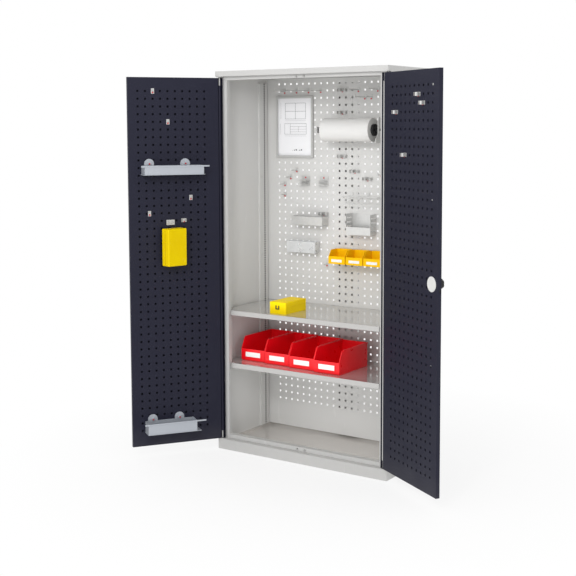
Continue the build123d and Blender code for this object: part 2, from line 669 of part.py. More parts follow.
def small_bin(number):
    """Open-fronted bin with a hook at the back for the rail."""
    x = BIN_X + number * BIN_PITCH
    x0, x1, y1, z0 = x - BIN_WIDTH / 2, x + BIN_WIDTH / 2, RAIL_LIP_Y - 1, 963
    with BuildPart() as bin_part:
        with BuildSketch(Plane.YZ.offset(x0)):
            Polygon((BIN_FRONT_Y, z0), (y1, z0), (y1, 1034), (BIN_FRONT_Y + 26, 1034), (BIN_FRONT_Y, 1000),
                    align=None)
        extrude(amount=BIN_WIDTH)
        block(x0 + 2, x1 - 2, BIN_FRONT_Y + 2, y1 - 2, z0 + 2, 1036, Mode.SUBTRACT)
        block(x0 + 12, x1 - 12, y1 - 2, y1 + 8, 1031, 1034)
        block(x0 + 12, x1 - 12, y1 + 5, y1 + 8, 1018, 1034)
    return bin_part


# ---- loose containers on the shelves ----
RED_WIDTH, RED_DEPTH, RED_HEIGHT = 148, 275, 121
RED_BINS = [(-434, -128), (-276, -140), (-116, -154), (43, -172)]


def red_bin(x0, y0):
    """Open-fronted storage bin with a low front and a sloping shoulder."""
    x1, y1 = x0 + RED_WIDTH, y0 + RED_DEPTH
    z0 = LOWER_SHELF_TOP + BIN_GAP
    wall = 2.5
    with BuildPart() as tub:
        with BuildSketch(Plane.YZ.offset(x0)):
            Polygon((y0 + 5, z0), (y1, z0), (y1, z0 + RED_HEIGHT), (y0 + 36, z0 + RED_HEIGHT),
                    (y0 + 27, z0 + 116), (y0, z0 + 62), (y0, z0 + 6), align=None)
        extrude(amount=RED_WIDTH)
        block(x0 + wall, x1 - wall, y0 + wall, y1 - wall, z0 + wall, z0 + RED_HEIGHT + 1, Mode.SUBTRACT)
        rim_z = z0 + RED_HEIGHT
        block(x0 - 3, x1 + 3, y0 + 36, y1 + 3, rim_z - 6, rim_z)
        block(x0 + wall, x1 - wall, y0 + 34, y1 - wall, rim_z - 7, rim_z + 1, Mode.SUBTRACT)
        block(x0 + wall, x1 - wall, y0 - 1, y0 + wall + 1, z0 + 62, rim_z + 1, Mode.SUBTRACT)
    return tub


CASE_X0, CASE_X1, CASE_Y0, CASE_Y1 = -218, -118, -180, 10
CASE_SPLIT = 38
CASE_PIN_Y, CASE_PIN_Z = 14, UPPER_SHELF_TOP + 38.5
CASE_PIN_R = 1.5


def lower_case():
    """Bottom half of the flat case, with its hinge pin on two lugs."""
    z0 = UPPER_SHELF_TOP + BIN_GAP
    with BuildPart() as base:
        block(CASE_X0, CASE_X1, CASE_Y0, CASE_Y1, z0, z0 + CASE_SPLIT)
        fillet(base.edges().filter_by(Axis.Z), 6)
        block(CASE_X0 + 2, CASE_X1 - 2, CASE_Y0 + 2, CASE_Y1 - 2, z0 + 2, z0 + CASE_SPLIT + 1, Mode.SUBTRACT)
        for x in (CASE_X0 + 10, CASE_X1 - 14):
            block(x, x + 4, CASE_Y1 - 1, CASE_PIN_Y + 1, CASE_PIN_Z - 9, CASE_PIN_Z - 1)
            bar((x, CASE_PIN_Y, CASE_PIN_Z), (x + 4, CASE_PIN_Y, CASE_PIN_Z), 3)
        bar((CASE_X0 + 11, CASE_PIN_Y, CASE_PIN_Z), (CASE_X1 - 11, CASE_PIN_Y, CASE_PIN_Z), CASE_PIN_R)
    return base


def upper_case():
    """Lid of the flat case, with a knuckle round the hinge pin."""
    z0 = UPPER_SHELF_TOP + BIN_GAP + CASE_SPLIT + 0.4
    z1 = UPPER_SHELF_TOP + 60
    with BuildPart() as lid:
        block(CASE_X0, CASE_X1, CASE_Y0, CASE_Y1, z0, z1)
        fillet(lid.edges().filter_by(Axis.Z), 6)
        fillet(lid.faces().sort_by(Axis.Z)[-1].edges(), 3)
        block(CASE_X0 + 2, CASE_X1 - 2, CASE_Y0 + 2, CASE_Y1 - 2, z0 - 1, z1 - 2, Mode.SUBTRACT)
        start, end = (CASE_X0 + 16, CASE_PIN_Y, CASE_PIN_Z), (CASE_X1 - 16, CASE_PIN_Y, CASE_PIN_Z)
        block(start[0], end[0], CASE_Y1 - 1, CASE_PIN_Y, CASE_PIN_Z + 0.7, CASE_PIN_Z + 2.4)
        bar(start, end, 3)
        bar((start[0] - 1, CASE_PIN_Y, CASE_PIN_Z), (end[0] + 1, CASE_PIN_Y, CASE_PIN_Z),
            CASE_PIN_R + PIN_FIT, Mode.SUBTRACT)
    return lid


pieces = {
    "side_left": side_panel(-1),
    "side_right": side_panel(1),
    "back_wall": perforated_back(),
    "back_stiffener": hat_stiffener(),
    "floor_pan": floor_tray(),
    "top_cover": cover(),
    "header_rail": rail(1905, COVER_BOTTOM),
    "bottom_rail": rail(PLINTH_TOP + 1.5, 76),
    "plinth": plinth_ring(),
    "rear_uprights": uprights(125, 199, 171, 6),
    "front_uprights": uprights(-190, -130, -145, 3.5),
    "shelf_upper": shelf(UPPER_SHELF_TOP),
    "shelf_lower": shelf(LOWER_SHELF_TOP),
    "shelf_clips": clips_under_shelves(),
    "levelling_feet": feet(),
    "hinge_pins": pins(),
    "rod_keepers": keepers(),
    "frame_screws": screws(),
    "door_bumpers": bumpers(),
    "door_tray": ledge_tray((110, 412), (104, 418), (82, 430), 1434, 1480, (188, 373)),
    "can_tray": ledge_tray((160, 412), (138, 414), (113, 430), 130, 186, (234, 373)),
    "door_clips_left": left_door_hooks(),
    "door_clips_right": right_door_clips(),
    "hanging_case": hanging_box(),
    "lock_case": lock_housing(),
    "lock_rosette": handle_rosette(),
    "turn_handle": handle(),
    "lock_plug": key_plug(),
    "lock_cam": cam(),
    "rod_upper": lock_rod(1, DOOR_TOP - 2),
    "rod_lower": lock_rod(-1, DOOR_BOTTOM + 2),
    "centre_bolt": side_bolt(),
    "rod_guides": guides(),
    "lock_cover": inner_cover(),
    "document_frame": frame_for_document(),
    "roll_brackets": brackets_for_roll(),
    "paper_roll": roll(),
    "roll_spindle": spindle(),
    "single_hooks": wall_hooks(),
    "tool_clips": wall_clips(),
    "wire_rack": rack_of_wire(),
    "pen_tray": tray_for_pens(),
    "open_box": box_with_holes(),
    "clear_tray": tray_clear(),
    "bin_rail": channel_for_bins(),
    "case_base": lower_case(),
    "case_lid": upper_case(),
}
for door_side, door_name in NAME.items():
    pieces[f"door_shell_{door_name}"] = door_shell(door_side)
    pieces[f"door_panel_{door_name}"] = door_panel(door_side)
    pieces[f"hinge_tube_{door_name}"] = hinge_tube(door_side)
for count in range(3):
    pieces[f"yellow_bin_{count + 1}"] = small_bin(count)
for count, (bin_x, bin_y) in enumerate(RED_BINS):
    pieces[f"red_bin_{count + 1}"] = red_bin(bin_x, bin_y)

for piece_name, piece in pieces.items():
    save(piece, piece_name)
print(len(pieces), "pieces")
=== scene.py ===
import json
from math import cos, pi, radians, sin

import bmesh
import bpy
from mathutils import Matrix, Vector

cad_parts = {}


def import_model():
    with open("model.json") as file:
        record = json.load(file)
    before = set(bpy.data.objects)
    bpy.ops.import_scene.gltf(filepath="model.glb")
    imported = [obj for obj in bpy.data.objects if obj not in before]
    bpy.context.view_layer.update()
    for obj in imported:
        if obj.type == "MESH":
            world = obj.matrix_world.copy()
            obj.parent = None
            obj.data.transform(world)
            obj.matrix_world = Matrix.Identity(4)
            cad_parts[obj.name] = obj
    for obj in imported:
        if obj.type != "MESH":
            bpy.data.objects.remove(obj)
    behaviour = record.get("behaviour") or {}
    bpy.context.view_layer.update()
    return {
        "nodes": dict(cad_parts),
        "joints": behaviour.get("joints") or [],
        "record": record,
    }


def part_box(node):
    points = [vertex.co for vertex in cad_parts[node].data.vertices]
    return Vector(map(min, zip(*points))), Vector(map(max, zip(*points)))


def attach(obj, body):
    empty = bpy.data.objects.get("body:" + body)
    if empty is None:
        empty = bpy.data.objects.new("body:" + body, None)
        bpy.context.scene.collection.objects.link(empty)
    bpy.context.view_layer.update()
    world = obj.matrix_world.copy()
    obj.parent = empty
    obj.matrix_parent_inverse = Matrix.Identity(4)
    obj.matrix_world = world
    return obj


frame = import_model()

MM = 0.001
NODES = frame["nodes"]


# ---- places taken from the frame ----
def joint_named(name):
    return next(joint for joint in frame["joints"] if joint["name"] == name)


LEFT_SWING = radians(joint_named("left_door_hinge")["range_deg"][1])
RIGHT_SWING = radians(-joint_named("right_door_hinge")["range_deg"][0])
DOORS = {
    "left": {
        "body": "door_left",
        "hinge": Vector(joint_named("left_door_hinge")["pos_m"]),
        "along": Vector((cos(LEFT_SWING), -sin(LEFT_SWING), 0)),
        "inward": Vector((sin(LEFT_SWING), cos(LEFT_SWING), 0)),
    },
    "right": {
        "body": "door_right",
        "hinge": Vector(joint_named("right_door_hinge")["pos_m"]),
        "along": Vector((-cos(RIGHT_SWING), -sin(RIGHT_SWING), 0)),
        "inward": Vector((-sin(RIGHT_SWING), cos(RIGHT_SWING), 0)),
    },
}
BACK_WALL_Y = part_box("back_wall")[0].y
HOLE_PITCH = 38 * MM
UPRIGHT_FACE = 490 * MM
WALL_OUTSIDE = 500 * MM
UPRIGHT_TOP = 1897 * MM
CHANNELS = ((125 * MM, 199 * MM), (-190 * MM, -130 * MM))
FIRST_SLOT_Z, SLOT_PITCH = 46 * MM, 12.5 * MM
REAR_SLOT_Y, RIM_SHADE_Y, RIM_SHADE_Z = 171 * MM, 6.5 * MM, 3 * MM      # painted shade: dark rim round each rear slot
FIRST_HOLE_X, TOP_HOLE_Z = -418 * MM, 1895 * MM


def hole_at(column, row):
    """Middle of a hole of the back wall."""
    return Vector((FIRST_HOLE_X + column * HOLE_PITCH, BACK_WALL_Y, TOP_HOLE_Z - row * HOLE_PITCH))


def on_door(door, d, n, z):
    """Point of a door, from millimetres along it, through it and up."""
    place = DOORS[door]
    foot = place["hinge"] + place["along"] * (d * MM) + place["inward"] * (n * MM)
    return Vector((foot.x, foot.y, z * MM))


def door_matrix(door):
    """Matrix from (along, inward, up) in metres to the row frame."""
    place = DOORS[door]
    turn = Matrix((place["along"], place["inward"], Vector((0, 0, 1)))).transposed().to_4x4()
    hinge = place["hinge"]
    return Matrix.Translation((hinge.x, hinge.y, 0)) @ turn


# ---- finishes ----
class Finish:
    """A procedural material on Object coordinates."""

    def __init__(self, name, roughness=0.5, metallic=0.0):
        self.material = bpy.data.materials.new(name)
        self.material.use_nodes = True
        self.tree = self.material.node_tree
        self.shader = self.tree.nodes["Principled BSDF"]
        self.shader.inputs["Roughness"].default_value = roughness
        self.shader.inputs["Metallic"].default_value = metallic
        self.coords = self.tree.nodes.new("ShaderNodeTexCoord").outputs["Object"]

    def node(self, kind, **inputs):
        """A node of that kind with its inputs set or linked."""
        made = self.tree.nodes.new(kind)
        for name, value in inputs.items():
            self.feed(made.inputs[name.replace("_", " ")], value)
        return made

    def feed(self, socket, value):
        if isinstance(value, bpy.types.NodeSocket):
            self.tree.links.new(value, socket)
        else:
            socket.default_value = value

    def stretched(self, scale):
        """Object coordinates stretched by a vector."""
        return self.node("ShaderNodeMapping", Vector=self.coords, Scale=scale).outputs["Vector"]

    def noise(self, scale, detail=4.0, coords=None):
        made = self.node("ShaderNodeTexNoise", Vector=coords or self.coords, Scale=scale, Detail=detail)
        return made.outputs["Fac"]

    def spread(self, value, low, high, out_low=0.0, out_high=1.0):
        """Value mapped from one range to another, and held there."""
        made = self.node("ShaderNodeMapRange", Value=value)
        for name, number in (("From Min", low), ("From Max", high), ("To Min", out_low), ("To Max", out_high)):
            made.inputs[name].default_value = number
        return made.outputs["Result"]

    def mix(self, factor, first, second):
        made = self.tree.nodes.new("ShaderNodeMix")
        made.data_type = "RGBA"
        self.feed(made.inputs["Factor"], factor)
        self.feed(made.inputs["A"], first)
        self.feed(made.inputs["B"], second)
        return made.outputs["Result"]

    def math(self, operation, first, second):
        made = self.tree.nodes.new("ShaderNodeMath")
        made.operation = operation
        self.feed(made.inputs[0], first)
        self.feed(made.inputs[1], second)
        return made.outputs["Value"]

    def bump(self, height, strength, distance):
        made = self.node("ShaderNodeBump", Height=height, Strength=strength, Distance=distance)
        self.tree.links.new(made.outputs["Normal"], self.shader.inputs["Normal"])

    def set(self, **inputs):
        for name, value in inputs.items():
            self.feed(self.shader.inputs[name.replace("_", " ")], value)
        return self


def shade(colour, factor):
    """Colour made darker or lighter."""
    return tuple(min(1.0, part * factor) for part in colour[:3]) + (1.0,)


def powder_coat(name, colour, roughness=0.46, sheen=0.0, specular=0.5):
    """Fine powder coat: orange peel, faint patches, a few rubbed places."""
    finish = Finish(name, roughness)
    finish.shader.inputs["Specular IOR Level"].default_value = specular
    finish.shader.inputs["Coat Weight"].default_value = sheen
    finish.shader.inputs["Coat Roughness"].default_value = 0.09
    patches = finish.noise(3.0, 3.0)
    peel = finish.noise(520.0, 2.0)
    scuffs = finish.spread(finish.noise(46.0, 8.0, finish.stretched((1, 1, 0.12))), 0.66, 0.72)
    base = finish.mix(patches, shade(colour, 0.97), shade(colour, 1.03))
    rubbed = finish.mix(finish.math("MULTIPLY", scuffs, 0.16), base, shade(colour, 1.35))
    height = finish.node("ShaderNodeSeparateXYZ", Vector=finish.coords).outputs["Z"]
    dust = finish.spread(height, 0.0, 0.16, 0.12, 0.0)
    finish.set(Base_Color=finish.mix(finish.math("MULTIPLY", dust, finish.noise(18.0, 6.0)), rubbed,
                                     (0.36, 0.34, 0.31, 1)))
    finish.set(Roughness=finish.spread(finish.noise(9.0, 5.0), 0.2, 0.8, roughness - 0.06, roughness + 0.1))
    finish.bump(peel, 0.12, 0.0001)
    return finish.material


def coat_with_slot_shade(name, colour, specular):
    """Powder coat with painted shade: dark round the rear slots and in the channels behind them."""
    material = powder_coat(name, colour, specular=specular)
    tree = material.node_tree
    shader = tree.nodes["Principled BSDF"]
    coat = shader.inputs["Base Color"].links[0].from_socket
    coords = tree.nodes["Texture Coordinate"].outputs["Object"]
    split = tree.nodes.new("ShaderNodeSeparateXYZ")
    tree.links.new(coords, split.inputs["Vector"])

    def calculate(operation, first, second=0.0):
        made = tree.nodes.new("ShaderNodeMath")
        made.operation = operation
        for socket, value in zip(made.inputs, (first, second)):
            if isinstance(value, bpy.types.NodeSocket):
                tree.links.new(value, socket)
            else:
                socket.default_value = value
        return made.outputs["Value"]

    def between(value, low, high):
        above = calculate("GREATER_THAN", value, low)
        return calculate("MULTIPLY", above, calculate("LESS_THAN", value, high))

    # painted shade in the hollow channels behind the upright faces
    aside = calculate("ABSOLUTE", split.outputs["X"])
    hollow = between(aside, UPRIGHT_FACE + 1.2 * MM, WALL_OUTSIDE - 0.8 * MM)
    channels = [between(split.outputs["Y"], low + 1.4 * MM, high - 1.4 * MM) for low, high in CHANNELS]
    below = calculate("LESS_THAN", split.outputs["Z"], UPRIGHT_TOP)
    inside = calculate("MULTIPLY", calculate("MULTIPLY", hollow, below), calculate("ADD", *channels))
    # painted shade: a dark rim round each rear slot
    turns = calculate("DIVIDE", calculate("SUBTRACT", split.outputs["Z"], FIRST_SLOT_Z), SLOT_PITCH)
    off_slot = calculate("ABSOLUTE", calculate("SUBTRACT", calculate("FRACT", calculate("ADD", turns, 0.5)), 0.5))
    beside = calculate("ABSOLUTE", calculate("SUBTRACT", split.outputs["Y"], REAR_SLOT_Y))
    rim_shade = calculate("MULTIPLY", calculate("LESS_THAN", off_slot, RIM_SHADE_Z / SLOT_PITCH),
                       calculate("LESS_THAN", beside, RIM_SHADE_Y))
    on_face = between(aside, UPRIGHT_FACE - 0.4 * MM, UPRIGHT_FACE + 1.3 * MM)
    painted_shade = calculate("MAXIMUM", inside, calculate("MULTIPLY", on_face, rim_shade))
    blend = tree.nodes.new("ShaderNodeMix")
    blend.data_type = "RGBA"
    tree.links.new(painted_shade, blend.inputs["Factor"])
    tree.links.new(coat, blend.inputs["A"])
    # near-black painted shade for the slot rims and the channels
    blend.inputs["B"].default_value = (0.03, 0.03, 0.03, 1)
    tree.links.new(blend.outputs["Result"], shader.inputs["Base Color"])
    return material


def zinc_plate(name, colour, roughness=0.36, metallic=0.35):
    """Galvanised sheet with its soft spangle and fine handling marks."""
    finish = Finish(name, roughness, metallic)
    cells = finish.node("ShaderNodeTexVoronoi", Vector=finish.coords, Scale=120.0).outputs["Color"]
    grain = finish.spread(cells, 0.0, 1.0)
    base = finish.mix(grain, shade(colour, 0.96), shade(colour, 1.04))
    marks = finish.spread(finish.noise(220.0, 6.0, finish.stretched((1, 1, 0.1))), 0.55, 0.8)
    finish.set(Base_Color=finish.mix(finish.math("MULTIPLY", marks, 0.18), base, shade(colour, 0.7)))
    finish.set(Roughness=finish.spread(grain, 0.0, 1.0, roughness - 0.05, roughness + 0.07))
    finish.bump(finish.noise(300.0, 3.0), 0.05, 0.00004)
    return finish.material


def smooth_sheet(name, colour, roughness, metallic):
    """Rolled sheet with a soft sheen, faint drag marks and dull patches."""
    finish = Finish(name, roughness, metallic)
    drag = finish.noise(6.0, 5.0, finish.stretched((14, 1, 1)))
    finish.set(Base_Color=finish.mix(drag, shade(colour, 0.98), shade(colour, 1.02)))
    finish.set(Roughness=finish.spread(finish.noise(4.0, 4.0), 0.25, 0.75, roughness - 0.03, roughness + 0.08))
    finish.bump(drag, 0.03, 0.0001)
    return finish.material


def moulded(name, colour, roughness=0.38, specular=0.4):
    """Moulded plastic: fine grain, scuffs and slight flow shading."""
    finish = Finish(name, roughness)
    flow = finish.noise(11.0, 3.0)
    scuffs = finish.spread(finish.noise(70.0, 9.0, finish.stretched((0.25, 1, 1))), 0.62, 0.74)
    base = finish.mix(flow, shade(colour, 0.9), shade(colour, 1.08))
    paler = tuple(min(1.0, part + 0.12) for part in colour[:3]) + (1.0,)
    finish.set(Base_Color=finish.mix(finish.math("MULTIPLY", scuffs, 0.25), base, paler))
    finish.set(Roughness=finish.spread(finish.noise(30.0, 5.0), 0.25, 0.75, roughness - 0.06, roughness + 0.12))
    finish.shader.inputs["Specular IOR Level"].default_value = specular
    finish.bump(finish.noise(700.0, 2.0), 0.08, 0.0001)
    return finish.material


def clear_moulded(name):
    """Clear plastic, frosted by use."""
    finish = Finish(name, 0.3)
    finish.shader.inputs["Transmission Weight"].default_value = 0.45
    finish.shader.inputs["IOR"].default_value = 1.2
    haze = finish.noise(25.0, 6.0)
    finish.set(Base_Color=finish.mix(haze, (0.86, 0.87, 0.88, 1), (0.95, 0.96, 0.96, 1)))
    finish.set(Roughness=finish.spread(haze, 0.3, 0.7, 0.24, 0.4))
    finish.bump(finish.noise(60.0, 2.0), 0.1, 0.0005)
    return finish.material


def wound_paper(name):
    """Soft paper: creases round the roll and fine fibre."""
    finish = Finish(name, 0.9)
    creases = finish.noise(16.0, 7.0, finish.stretched((0.35, 1, 1)))
    finish.set(Base_Color=finish.mix(creases, (0.68, 0.675, 0.66, 1), (0.78, 0.775, 0.765, 1)))
    finish.set(Roughness=finish.spread(creases, 0.0, 1.0, 0.82, 0.98))
    layers = finish.node("ShaderNodeTexNoise", Vector=finish.stretched((1, 260, 260)), Scale=1.0).outputs["Fac"]
    finish.bump(finish.math("ADD", layers, creases), 0.35, 0.0012)
    return finish.material


def plain_card(name, colour=(0.86, 0.86, 0.84)):
    """Paper or card with faint fibre and soft yellowing."""
    finish = Finish(name, 0.75)
    fibre = finish.noise(240.0, 6.0)
    finish.set(Base_Color=finish.mix(fibre, shade(colour, 0.95), shade(colour, 1.04)))
    finish.set(Roughness=finish.spread(finish.noise(40.0, 3.0), 0.2, 0.8, 0.66, 0.85))
    finish.bump(fibre, 0.08, 0.0002)
    return finish.material


CARCASS = powder_coat("carcass coat", (0.64, 0.637, 0.625, 1), specular=0.35)
# upright coat with painted shade round the rear slots and in the channels behind them
SLOT_SHADED_COAT = coat_with_slot_shade("upright coat with painted slot shade", (0.64, 0.637, 0.625, 1), 0.35)
SHELF = smooth_sheet("smooth shelf sheet", (0.61, 0.60, 0.585), 0.10, 0.6)
TRAY_FLOOR = smooth_sheet("smooth floor pan sheet", (0.66, 0.63, 0.60), 0.2, 0.35)
DARK = powder_coat("dark door coat", (0.0165, 0.017, 0.034, 1), 0.5, specular=0.22)
ZINC = zinc_plate("galvanised steel", (0.58, 0.58, 0.57))
# frame coat: partly the frame's own grey, partly painted shade darkening it
FRAME_GREY_AND_SHADE = powder_coat("document frame coat with painted shade", (0.50, 0.50, 0.49, 1), specular=0.3)
PALE_STEEL = zinc_plate("pale spring steel", (0.60, 0.60, 0.59), 0.32)
BLUISH = smooth_sheet("plated door tray", (0.50, 0.53, 0.58), 0.32, 0.3)
LOCK_CHROME = zinc_plate("chromed lock", (0.80, 0.80, 0.80), 0.14, 0.9)
RED = moulded("red moulding", (0.88, 0.003, 0.010, 1), 0.3)
YELLOW = moulded("yellow moulding", (1.0, 0.70, 0.0, 1), 0.45, 0.12)
DEEP_YELLOW = moulded("deep yellow moulding", (1.0, 0.55, 0.0, 1), 0.45, 0.12)
SEAM = moulded("seam in the yellow moulding", (0.55, 0.33, 0.0, 1), 0.5)
BLACK = moulded("black moulding", (0.016, 0.016, 0.018, 1), 0.42)
WHITE = moulded("white moulding", (0.80, 0.80, 0.78, 1), 0.40)
RUBBER = moulded("pale rubber stop", (0.50, 0.50, 0.49, 1), 0.8)
CLEAR = clear_moulded("clear moulding")
PAPER = wound_paper("wound paper")
CARD = plain_card("label card")
SHEET = plain_card("drawing sheet", (0.90, 0.90, 0.92))
INK = plain_card("printed line", (0.12, 0.12, 0.13))
LENS = moulded("red marker", (0.58, 0.05, 0.06, 1), 0.3)

SLOT_FINISH = {
    "carcass_grey": CARCASS,
    "door_dark": DARK,
    "zinc": ZINC,
    "red_plastic": RED,
    "yellow_plastic": YELLOW,
    "black_plastic": BLACK,
    "white_plastic": WHITE,
    "clear_plastic": CLEAR,
    "rubber": RUBBER,
    "paper": PAPER,
    "lock_steel": LOCK_CHROME,
}
NODE_FINISH = {
    "rod_upper": DARK,
    "rod_lower": DARK,
    # painted shade: the left hinge tube takes the dark door coat in place of zinc, standing in for its shadow
    "hinge_tube_left": DARK,
    "document_frame": FRAME_GREY_AND_SHADE,
    "shelf_upper": SHELF,
    "shelf_lower": SHELF,
    "floor_pan": TRAY_FLOOR,
    # these four nodes carry the painted shade round the slots and in the channels
    "rear_uprights": SLOT_SHADED_COAT,
    "front_uprights": SLOT_SHADED_COAT,
    "side_left": SLOT_SHADED_COAT,
    "side_right": SLOT_SHADED_COAT,
    "centre_bolt": BLACK,
    "yellow_bin_1": DEEP_YELLOW,
    "yellow_bin_2": DEEP_YELLOW,
    "yellow_bin_3": DEEP_YELLOW,
    "single_hooks": PALE_STEEL,
    "tool_clips": PALE_STEEL,
    "wire_rack": PALE_STEEL,
    "bin_rail": PALE_STEEL,
    "pen_tray": PALE_STEEL,
    "open_box": PALE_STEEL,
    "door_clips_left": PALE_STEEL,
    "door_clips_right": PALE_STEEL,
    "door_tray": BLUISH,
    "can_tray": BLUISH,
}


def dress_nodes():
    """Every node of the frame gets the finish of its slot or its own."""
    for part in frame["record"]["subparts"]:
        node = NODES[part["node"]]
        node.data.materials.clear()
        node.data.materials.append(NODE_FINISH.get(part["node"], SLOT_FINISH[part["material_slot"]]))


# ---- mesh helpers ----
def finish_piece(name, mesh, finish, body):
    """Object from a bmesh, with its finish, riding on a body."""
    bmesh.ops.recalc_face_normals(mesh, faces=mesh.faces)
    data = bpy.data.meshes.new(name)
    mesh.to_mesh(data)
    mesh.free()
    return add_piece(name, data, finish, body)


def add_piece(name, data, finish, body):
    data.materials.clear()
    data.materials.append(finish)
    piece = bpy.data.objects.new(name, data)
    bpy.context.scene.collection.objects.link(piece)
    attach(piece, body)
    return piece


def add_box(mesh, low, high, matrix=None, bevel=0.0):
    """Closed box between two corners, with its edges broken."""
    middle = (Vector(low) + Vector(high)) / 2
    size = Vector(high) - Vector(low)
    made = bmesh.ops.create_cube(mesh, size=1.0)
    bmesh.ops.scale(mesh, vec=size, verts=made["verts"])
    bmesh.ops.translate(mesh, vec=middle, verts=made["verts"])
    verts = made["verts"]
    if bevel:
        edges = list({edge for vert in verts for edge in vert.link_edges})
        rounded = bmesh.ops.bevel(mesh, geom=edges, offset=bevel, segments=2, affect="EDGES", profile=0.5)
        verts = list({vert for face in rounded["faces"] for vert in face.verts})
    if matrix is not None:
        bmesh.ops.transform(mesh, matrix=matrix, verts=verts)


def to_plain_mesh(maker, name):
    """Evaluated result of an object's modifiers as a mesh of its own."""
    bpy.context.view_layer.update()
    result = maker.evaluated_get(bpy.context.evaluated_depsgraph_get())
    data = bpy.data.meshes.new_from_object(result)
    data.name = name
    source = maker.data
    bpy.data.objects.remove(maker)
    if isinstance(source, bpy.types.Mesh):
        bpy.data.meshes.remove(source)
    return data


def stud_tree(name, sides):
    """Node tree that sets a round stud on each point of a mesh."""
    tree = bpy.data.node_groups.new(name, "GeometryNodeTree")
    face = tree.interface
    face.new_socket("Geometry", in_out="INPUT", socket_type="NodeSocketGeometry")
    sizes = {}
    for label, kind in (("Radius", "NodeSocketFloat"), ("Height", "NodeSocketFloat"),
                        ("Turn", "NodeSocketVector"), ("Finish", "NodeSocketMaterial")):
        sizes[label] = face.new_socket(label, in_out="INPUT", socket_type=kind).identifier
    face.new_socket("Geometry", in_out="OUTPUT", socket_type="NodeSocketGeometry")
    nodes, links = tree.nodes, tree.links
    entry, leave = nodes.new("NodeGroupInput"), nodes.new("NodeGroupOutput")
    stud = nodes.new("GeometryNodeMeshCylinder")
    stud.inputs["Vertices"].default_value = sides
    links.new(entry.outputs["Radius"], stud.inputs["Radius"])
    links.new(entry.outputs["Height"], stud.inputs["Depth"])
    copies = nodes.new("GeometryNodeInstanceOnPoints")
    links.new(entry.outputs["Geometry"], copies.inputs["Points"])
    links.new(stud.outputs["Mesh"], copies.inputs["Instance"])
    links.new(entry.outputs["Turn"], copies.inputs["Rotation"])
    real = nodes.new("GeometryNodeRealizeInstances")
    links.new(copies.outputs["Instances"], real.inputs["Geometry"])
    coat = nodes.new("GeometryNodeSetMaterial")
    links.new(real.outputs["Geometry"], coat.inputs["Geometry"])
    links.new(entry.outputs["Finish"], coat.inputs["Material"])
    links.new(coat.outputs["Geometry"], leave.inputs["Geometry"])
    return tree, sizes


STUDS, STUD_INPUTS = stud_tree("round studs", 20)


def studs(name, points, facing, radius, height, finish, body):
    """Round studs at many points, all facing one way."""
    data = bpy.data.meshes.new(name)
    data.from_pydata([tuple(point) for point in points], [], [])
    maker = bpy.data.objects.new(name + "_maker", data)
    bpy.context.scene.collection.objects.link(maker)
    modifier = maker.modifiers.new("studs", "NODES")
    modifier.node_group = STUDS
    turn = Vector(facing).to_track_quat("Z", "Y").to_euler()
    for label, value in (("Radius", radius), ("Height", height), ("Turn", tuple(turn)), ("Finish", finish)):
        modifier[STUD_INPUTS[label]] = value
    return add_piece(name, to_plain_mesh(maker, name), finish, body)


def wire(name, paths, radius, finish, body, slot):
    """Round wires through lists of points, with soft bends."""
    curve = bpy.data.curves.new(name, "CURVE")
    curve.dimensions = "3D"
    curve.bevel_depth = radius
    curve.bevel_resolution = 3
    curve.resolution_u = 6
    curve.use_fill_caps = True
    for points in paths:
        spline = curve.splines.new("NURBS")
        spline.points.add(len(points) - 1)
        for vertex, point in zip(spline.points, points):
            vertex.co = (*point, 1.0)
        spline.order_u = 3
        spline.use_endpoint_u = True
    maker = bpy.data.objects.new(name + "_maker", curve)
    bpy.context.scene.collection.objects.link(maker)
    return add_piece(name, to_plain_mesh(maker, name), finish, body)


# ---- pieces ----
HOOK_HOLES = [(1, 1), (3, 1), (5, 1), (7, 1), (13, 1), (16, 1), (14, 2), (15, 2), (3, 12), (2, 13), (1, 14),
              (1, 15.5), (16.5, 12.4), (8, 25)]
CLIP_HOLES = [(10.5, 1), (10.5, 4), (10.5, 10), (12.5, 12), (14.5, 13), (7.5, 18)]
HOLDER_HOLES = [(4.5, 13.5), (7.5, 13.5)]
LEFT_PEGS = [(374, 1240), (350, 1848), (274, 1696), (160, 1316), (198, 1202)]
TRAY_CLIPS = [(188, 1488), (373, 1488), (234, 194), (373, 194)]
RIGHT_CLIPS = [(122, 1734), (198, 1544), (350, 1772), (312, 1810)]


def red_markers():
    """Red locking caps under the hooks, clips and holders."""
    cap, thick = 4.2 * MM, 1.6 * MM
    wall = [hole_at(column, row) + Vector((0, -3.2 * MM, -9 * MM)) for column, row in HOOK_HOLES]
    wall += [hole_at(column, row) + Vector((0, -3.2 * MM, -8 * MM)) for column, row in CLIP_HOLES]
    wall += [hole_at(column, row) + Vector((0, -3.2 * MM, 18 * MM)) for column, row in HOLDER_HOLES]
    studs("wall_markers", wall, (0, -1, 0), cap, thick, LENS, "cabinet")
    for door, places, name in (("left", LEFT_PEGS, "left_door_markers"), ("right", RIGHT_CLIPS, "right_door_markers")):
        points = [on_door(door, d, 12.3, z - 7) for d, z in places]
        if door == "left":
            points += [on_door(door, d, 21.8, z) for d, z in TRAY_CLIPS]
        studs(name, points, DOORS[door]["inward"], cap, thick, LENS, DOORS[door]["body"])


